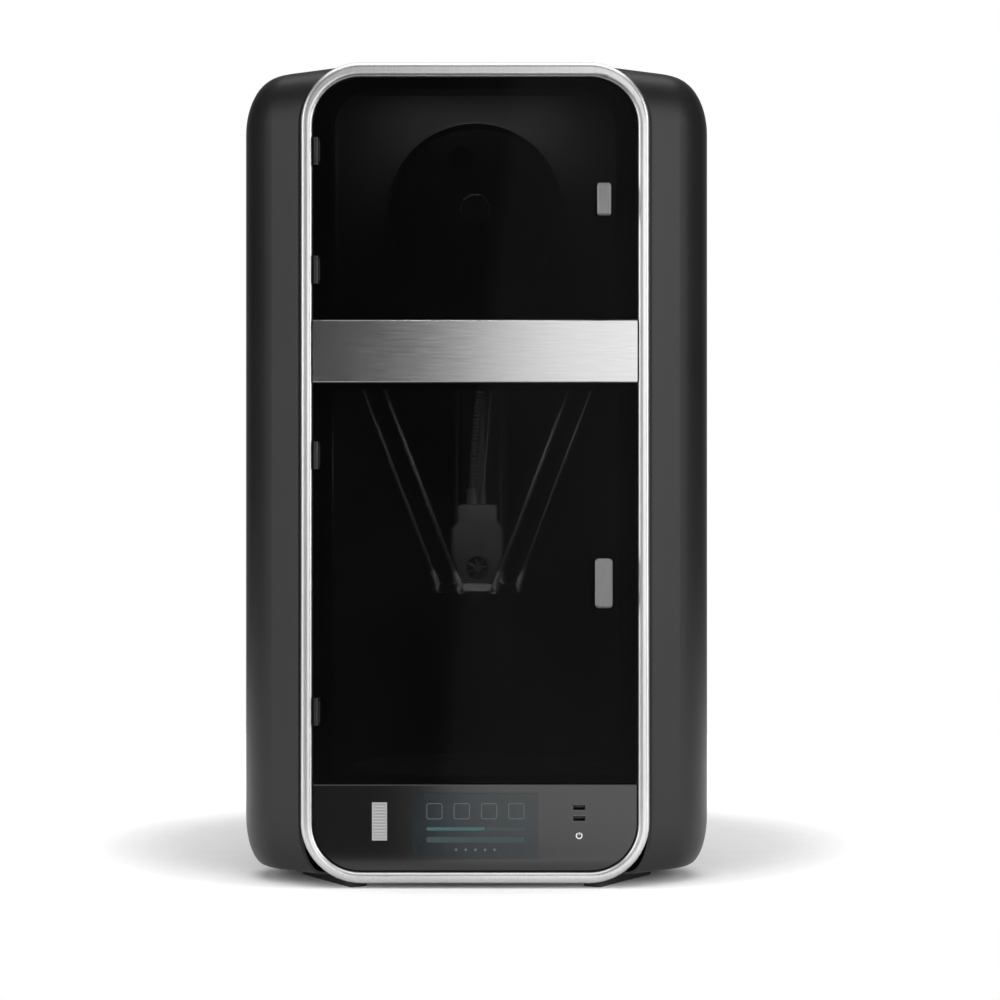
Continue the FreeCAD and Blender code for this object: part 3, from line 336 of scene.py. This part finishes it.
def plate(name, outline, depth_y, thick, holes=()):
    """A thin plate that faces the front: outline is a list of (x, z); it runs back from depth_y."""
    curve = bpy.data.curves.new(name, "CURVE")
    curve.dimensions = "2D"
    for ring in (outline, *holes):
        line = curve.splines.new("POLY")
        line.points.add(len(ring) - 1)
        for point, (x, z) in zip(line.points, ring):
            point.co = (x, z, 0.0, 1.0)
        line.use_cyclic_u = True
    curve.fill_mode = "BOTH"
    curve.extrude = thick / 2
    holder = bpy.data.objects.new(name, curve)
    mesh = bpy.data.meshes.new_from_object(holder)
    bpy.data.objects.remove(holder)
    bpy.data.curves.remove(curve)
    mesh.transform(Matrix.Rotation(math.radians(90), 4, "X"))
    mesh.transform(Matrix.Translation((0, depth_y + thick / 2, 0)))
    return mesh


def ring_points(cx, cz, radius, start=0, end=360, steps=48):
    """Points round a circle or part of one; a full circle doesn't repeat its first point."""
    return [(cx + radius * math.cos(math.radians(start + (end - start) * k / steps)),
             cz + radius * math.sin(math.radians(start + (end - start) * k / steps)))
            for k in range(steps + (0 if end - start >= 360 else 1))]


def arc_band(cx, cz, radius, width, start, end, steps=40):
    """The outline of a band that follows part of a circle."""
    outer = ring_points(cx, cz, radius + width / 2, start, end, steps)
    inner = ring_points(cx, cz, radius - width / 2, start, end, steps)
    return outer + inner[::-1]


def rounded(x0, x1, z0, z1, r, steps=6):
    """A rectangle's outline with rounded corners."""
    points = []
    corners = ((x1 - r, z1 - r, 0), (x0 + r, z1 - r, 90), (x0 + r, z0 + r, 180), (x1 - r, z0 + r, 270))
    for cx, cz, start in corners:
        for k in range(steps + 1):
            a = math.radians(start + 90 * k / steps)
            points.append((cx + r * math.cos(a), cz + r * math.sin(a)))
    return points


def joined(name, meshes):
    bm = bmesh.new()
    for mesh in meshes:
        bm.from_mesh(mesh)
        bpy.data.meshes.remove(mesh)
    mesh = bpy.data.meshes.new(name)
    bm.to_mesh(mesh)
    bm.free()
    return mesh


# ---- places, from the CAD ----
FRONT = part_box("front_frame")[0].y
AXIS_Y = FRONT + 0.230
MM = 0.001


MARK_THICK = 0.0001


def at(deep):
    """The y of a place this many millimetres behind the frame's front."""
    return FRONT + deep * MM


def middle(low, high):
    return (low.x + high.x) / 2, (low.z + high.z) / 2


# ---- touch screen: a plain layout of equal tiles, a progress bar, a caption bar and dots ----
TILES, TILE, TILE_GAP = 4, 20, 14
TILE_LOW, TILE_LINE, TILE_CORNER = 8, 1, 3
BAR, BAR_CORNER, BAR_GAP, BAR_DONE = (-6, -2), 1.8, 2, 0.6
CAPTION, CAPTION_CORNER = (-21, -14), 2
DOTS, DOT_R, DOT_PITCH, DOT_Z = 5, 1.7, 12, -30
SCREEN_LIFT = 0.00012


def screen_pieces():
    low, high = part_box("touch_screen")
    cx, cz = middle(low, high)
    y = low.y - SCREEN_LIFT

    def flat(outline, holes=()):
        return plate("mark", [(cx + x * MM, cz + z * MM) for x, z in outline], y, MARK_THICK,
                     [[(cx + hx * MM, cz + hz * MM) for hx, hz in hole] for hole in holes])

    teal = glow("screen_teal", (0.014, 0.070, 0.068), 0.50)
    pale = glow("screen_pale", (0.050, 0.072, 0.080), 0.50)
    dim = glow("screen_dim", (0.012, 0.028, 0.030), 0.45)

    half = (TILES * TILE + (TILES - 1) * TILE_GAP) / 2
    split = -half + 2 * half * BAR_DONE

    done = joined("screen_ui_teal", [flat(rounded(-half, split, *BAR, BAR_CORNER))])
    piece("screen_ui_teal", done, teal, "printer")
    marks = []
    for k in range(TILES):
        left = -half + k * (TILE + TILE_GAP)
        right, top = left + TILE, TILE_LOW + TILE
        edge = rounded(left, right, TILE_LOW, top, TILE_CORNER)
        inside = rounded(left + TILE_LINE, right - TILE_LINE, TILE_LOW + TILE_LINE, top - TILE_LINE,
                         TILE_CORNER - TILE_LINE)
        marks.append(flat(edge, [inside]))
    for k in range(DOTS):
        marks.append(flat(ring_points((k - (DOTS - 1) / 2) * DOT_PITCH, DOT_Z, DOT_R)))
    piece("screen_ui_pale", joined("screen_ui_pale", marks), pale, "printer")
    panes = [flat(rounded(split + BAR_GAP, half, *BAR, BAR_CORNER)),
             flat(rounded(-half, half, *CAPTION, CAPTION_CORNER))]
    piece("screen_ui_dim", joined("screen_ui_dim", panes), dim, "printer")


# ---- power mark on the button, outlines round the ports; both glow as painted brightness, not as lamps ----
BUTTON_LIFT = 0.00008
PORT_THICK = 0.00012
PORT_PITCH, PORT_TALL = 13.8 * MM, 6.8 * MM
PORT_OUTER, PORT_OUTER_CORNER = 0.7 * MM, 1.6 * MM
PORT_INNER, PORT_INNER_CORNER = 0.1 * MM, 1.0 * MM


def panel_marks():
    low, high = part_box("power_button")
    cx, cz = middle(low, high)
    # the power mark is white print that also glows: the glow is painted brightness, not a lamp
    white = glow("mark_white_painted_glow", (0.62, 0.62, 0.62), 0.35)
    y = low.y - BUTTON_LIFT
    ring = [(cx + x * MM, cz + z * MM) for x, z in arc_band(0, 0, 3.5, 1.5, 118, 422)]
    bar = [(cx + x * MM, cz + z * MM) for x, z in rounded(-0.55, 0.55, 0.8, 4.4, 0.4)]
    mark = joined("power_mark", [plate("ring", ring, y, MARK_THICK), plate("bar", bar, y, MARK_THICK)])
    piece("power_mark", mark, white, "button")

    low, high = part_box("usb_sockets")
    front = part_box("control_panel")[0].y
    outlines = []
    for top in (high.z, high.z - PORT_PITCH):
        rings = []
        for out, corner in ((PORT_OUTER, PORT_OUTER_CORNER), (PORT_INNER, PORT_INNER_CORNER)):
            rings.append(rounded(low.x - out, high.x + out, top - PORT_TALL - out, top + out, corner))
        outlines.append(plate("outline", rings[0], front - PORT_THICK, PORT_THICK, [rings[1]]))
    # the port outlines glow faintly: painted brightness, though they are no lamp
    piece("port_outlines", joined("port_outlines", outlines), glow("port_outline_painted_glow", grey(0.10), 0.10),
          "printer")


# ---- hose, cable, wound filament; routes are in millimetres, with y from the print head's axis ----
HOSE = [(-6, 10, 498), (-5, 11, 560), (6.5, 17, 650), (4, 21, 780), (6, 22, 925)]
CABLE = [(7, 12, 492), (11, 13, 548), (17, 16, 612), (20, 19, 680), (18, 22, 745),
         (20.5, 24, 810), (18.5, 25, 873), (20, 26, 935)]
HOSE_STEP, HOSE_R, HOSE_RIB, HOSE_PITCH = 0.00055, 0.00535, 0.00065, 0.0052
CABLE_STEP, CABLE_R, CABLE_RIB = 0.0022, 0.0023, 0.0002


def lines():
    def place(route):
        return [Vector((x * MM, y * MM + AXIS_Y, z * MM)) for x, y, z in route]

    spots = spline_points(place(HOSE), HOSE_STEP)
    radii = [HOSE_R + HOSE_RIB * math.cos(2 * math.pi * HOSE_STEP * k / HOSE_PITCH)
             for k in range(len(spots))]
    hose = bpy.data.objects.new("air_hose_ribbed", sweep(spots, radii, "air_hose_ribbed"))
    scene.collection.objects.link(hose)
    hose.data.materials.append(LOOKS["hose_black"])
    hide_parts("air_hose")
    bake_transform(hose)

    spots = spline_points(place(CABLE), CABLE_STEP)
    radii = [CABLE_R + CABLE_RIB * (k % 2) for k in range(len(spots))]
    cable = bpy.data.objects.new("head_cable_sleeved", sweep(spots, radii, "head_cable_sleeved"))
    scene.collection.objects.link(cable)
    cable.data.materials.append(LOOKS["cable_black"])
    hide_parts("head_cable")
    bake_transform(cable)


REEL_BORE = 0.0403
STRAND = 0.00175
EDGE_DROP, RIDGE, UNEVEN, UNDER_TOP = 0.0012, 0.0006, 0.0009, 0.00006
WIND_STEPS = 128


def winding():
    """The filament on the reel: rows of strands, each a shallow ridge, over a slightly uneven top."""
    low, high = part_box("filament")
    cx, cz = middle(low, high)
    outer = (high.x - low.x) / 2
    bm = bmesh.new()
    rows = round((high.y - low.y) / STRAND)
    profile = [(REEL_BORE, low.y), (outer - EDGE_DROP, low.y)]
    for row in range(rows):
        y0 = low.y + (high.y - low.y) * row / rows
        step = (high.y - low.y) / rows
        dip = UNEVEN * (0.5 + 0.5 * math.sin(row * 1.7))
        for share, rise in ((0.15, 0.55), (0.5, 1.0), (0.85, 0.55)):
            profile.append((outer - UNDER_TOP - dip - RIDGE * (1 - rise), y0 + step * share))
    profile += [(outer - EDGE_DROP, high.y), (REEL_BORE, high.y)]
    rings = []
    for k in range(WIND_STEPS):
        a = 2 * math.pi * k / WIND_STEPS
        rings.append([bm.verts.new((cx + r * math.cos(a), y, cz + r * math.sin(a))) for r, y in profile])
    for k in range(WIND_STEPS):
        a, b = rings[k], rings[(k + 1) % WIND_STEPS]
        for i in range(len(profile)):
            j = (i + 1) % len(profile)
            bm.faces.new((a[i], a[j], b[j], b[i]))
    bmesh.ops.recalc_face_normals(bm, faces=bm.faces)
    mesh = bpy.data.meshes.new("filament_winding")
    bm.to_mesh(mesh)
    bm.free()
    smooth(mesh, 50)
    wound = piece("filament_winding", mesh, LOOKS["filament_plastic"], "reel")
    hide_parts("filament")


# ---- second materials on CAD nodes: the arms' rod ends and balls, and the print head's light bar ----
LOW_BALL_Z, HIGH_BALL_Z, ROD_END = 0.366, 0.7216, 0.034
LENS_DEEP, LENS_HALF = 0.0499, 0.0180


def two_tone(node, look, chosen):
    mesh = frame["nodes"][node].data
    mesh.materials.append(look)
    for face in mesh.polygons:
        if chosen(face.center):
            face.material_index = 1


def rod_ends():
    bright = plain("rod_end_metal", grey(0.50), grey(0.70), (0.32, 0.45), 0.2, 900, bump=0.08)

    def end(p):
        return p.z < LOW_BALL_Z + ROD_END or p.z > HIGH_BALL_Z - ROD_END

    for name in "abc":
        two_tone("arms_" + name, bright, end)
    lens = glow("light_lens", grey(0.46), 0.65)
    two_tone("effector_plate", lens, lambda p: p.y < AXIS_Y - LENS_DEEP and abs(p.x) < LENS_HALF)


screen_pieces()
panel_marks()
lines()
winding()
rod_ends()


# ---- floor, lights, camera ----
FLOOR_HALF, FLOOR_FRONT, FLOOR_BACK = 3, -0.52, 1.9
FADE_FROM, FADE_TO, FADE_GLOW = 0.38, 0.70, 0.6


def floor():
    """A pale floor whose glow grows with distance until it looks white. It ends before the object, so
    that the glossy panel mirrors a light card and not the floor."""
    n = Nodes("floor_white")
    speck = n.noise(30.0, (1, 1, 1), 2.0)
    tone = n.ramp(speck, "Fac", [(0.3, grey(0.86)), (0.7, grey(0.88))])
    n.link(tone, "Color", n.shader, "Base Color")
    n.link(tone, "Color", n.shader, "Emission Color")
    centred = n.mapped((1, 1, 1))
    centred.inputs["Location"].default_value = (0.0, -0.20, 0.0)
    far = n.add("ShaderNodeVectorMath", operation="LENGTH")
    n.link(centred, "Vector", far, 0)
    sweep_up = n.add("ShaderNodeMapRange", interpolation_type="SMOOTHSTEP")
    sweep_up.inputs["From Min"].default_value = FADE_FROM
    sweep_up.inputs["From Max"].default_value = FADE_TO
    sweep_up.inputs["To Max"].default_value = FADE_GLOW
    n.link(far, "Value", sweep_up, "Value")
    n.link(sweep_up, "Result", n.shader, "Emission Strength")
    n.set(Roughness=0.85, Specular_IOR_Level=0.1)
    bm = bmesh.new()
    corners = [(-FLOOR_HALF, FLOOR_FRONT), (FLOOR_HALF, FLOOR_FRONT), (FLOOR_HALF, FLOOR_BACK),
               (-FLOOR_HALF, FLOOR_BACK)]
    bm.faces.new([bm.verts.new((x, y, 0.0)) for x, y in corners])
    mesh = bpy.data.meshes.new("floor")
    bm.to_mesh(mesh)
    bm.free()
    obj = bpy.data.objects.new("floor", mesh)
    scene.collection.objects.link(obj)
    obj.data.materials.append(n.mat)


def area(name, place, aim, size, power, roll=0.0):
    """A rectangular lamp that points at aim; roll turns it about that line, in degrees."""
    lamp = bpy.data.lights.new(name, "AREA")
    lamp.shape = "RECTANGLE"
    lamp.size, lamp.size_y = size
    lamp.energy = power
    obj = bpy.data.objects.new(name, lamp)
    obj.location = place
    turn = (Vector(aim) - Vector(place)).to_track_quat("-Z", "Y")
    obj.rotation_euler = (turn @ Quaternion((0, 0, 1), math.radians(roll))).to_euler()
    scene.collection.objects.link(obj)


def world():
    """White where the camera sees it; as a light it is dim, and brighter only toward the back."""
    sky = bpy.data.worlds.new("studio")
    sky.use_nodes = True
    tree = sky.node_tree
    tree.nodes.clear()
    out = tree.nodes.new("ShaderNodeOutputWorld")
    mix = tree.nodes.new("ShaderNodeMixShader")
    path = tree.nodes.new("ShaderNodeLightPath")
    seen = tree.nodes.new("ShaderNodeBackground")
    seen.inputs["Color"].default_value = (1, 1, 1, 1)
    seen.inputs["Strength"].default_value = 1.0
    lit = tree.nodes.new("ShaderNodeBackground")
    coords = tree.nodes.new("ShaderNodeTexCoord")
    split = tree.nodes.new("ShaderNodeSeparateXYZ")
    fade = tree.nodes.new("ShaderNodeMapRange")
    fade.inputs["From Min"].default_value = 0.80
    fade.inputs["From Max"].default_value = 1.0
    fade.inputs["To Min"].default_value = 0.03
    fade.inputs["To Max"].default_value = 0.70
    tree.links.new(coords.outputs["Generated"], split.inputs[0])
    tree.links.new(split.outputs["Y"], fade.inputs["Value"])
    tree.links.new(fade.outputs["Result"], lit.inputs["Strength"])
    tree.links.new(path.outputs["Is Camera Ray"], mix.inputs["Fac"])
    tree.links.new(lit.outputs[0], mix.inputs[1])
    tree.links.new(seen.outputs[0], mix.inputs[2])
    tree.links.new(mix.outputs[0], out.inputs["Surface"])
    scene.world = sky


floor()
world()
area("top", (0, -0.2, 3.6), (0, 0.0, 0), (4.4, 4.4), 150)
area("left_box", (-2.6, -0.9, 1.1), (0, 0, 0.5), (1.2, 2.4), 34)
area("left_card", (-2.7, -4.0, 0.8), (0, 0, 0.8), (2.4, 2.6), 24)
area("right_box", (2.6, -0.9, 1.1), (0, 0, 0.5), (1.2, 2.4), 42)
area("right_card", (1.82, -4.3, 0.8), (1.82, 0, 0.8), (3.7, 3.0), 96, -6)
# two small lamps inside the cabinet, for what shows through its dark glass
area("chamber_lamp", (0.0, at(40), 0.535), (0, AXIS_Y, 0.42), (0.30, 0.06), 2.2)
area("spool_lamp", (0.0, at(15), 0.992), (0, at(60), 0.82), (0.24, 0.008), 0.9)

CAMERA_SIDE, CAMERA_BACK, CAMERA_HIGH = 0.056, 3.5, 0.5035
camera = bpy.data.cameras.new("camera")
camera.lens = 101.2
camera.sensor_width = 36.0
camera.shift_x = -0.020
camera.shift_y = -0.0155
camera.clip_start, camera.clip_end = 0.05, 60.0
view = bpy.data.objects.new("camera", camera)
view.location = (CAMERA_SIDE, FRONT - CAMERA_BACK, CAMERA_HIGH)
view.rotation_euler = (math.radians(90), 0, 0)
scene.collection.objects.link(view)
scene.camera = view
scene.view_settings.view_transform = "Standard"
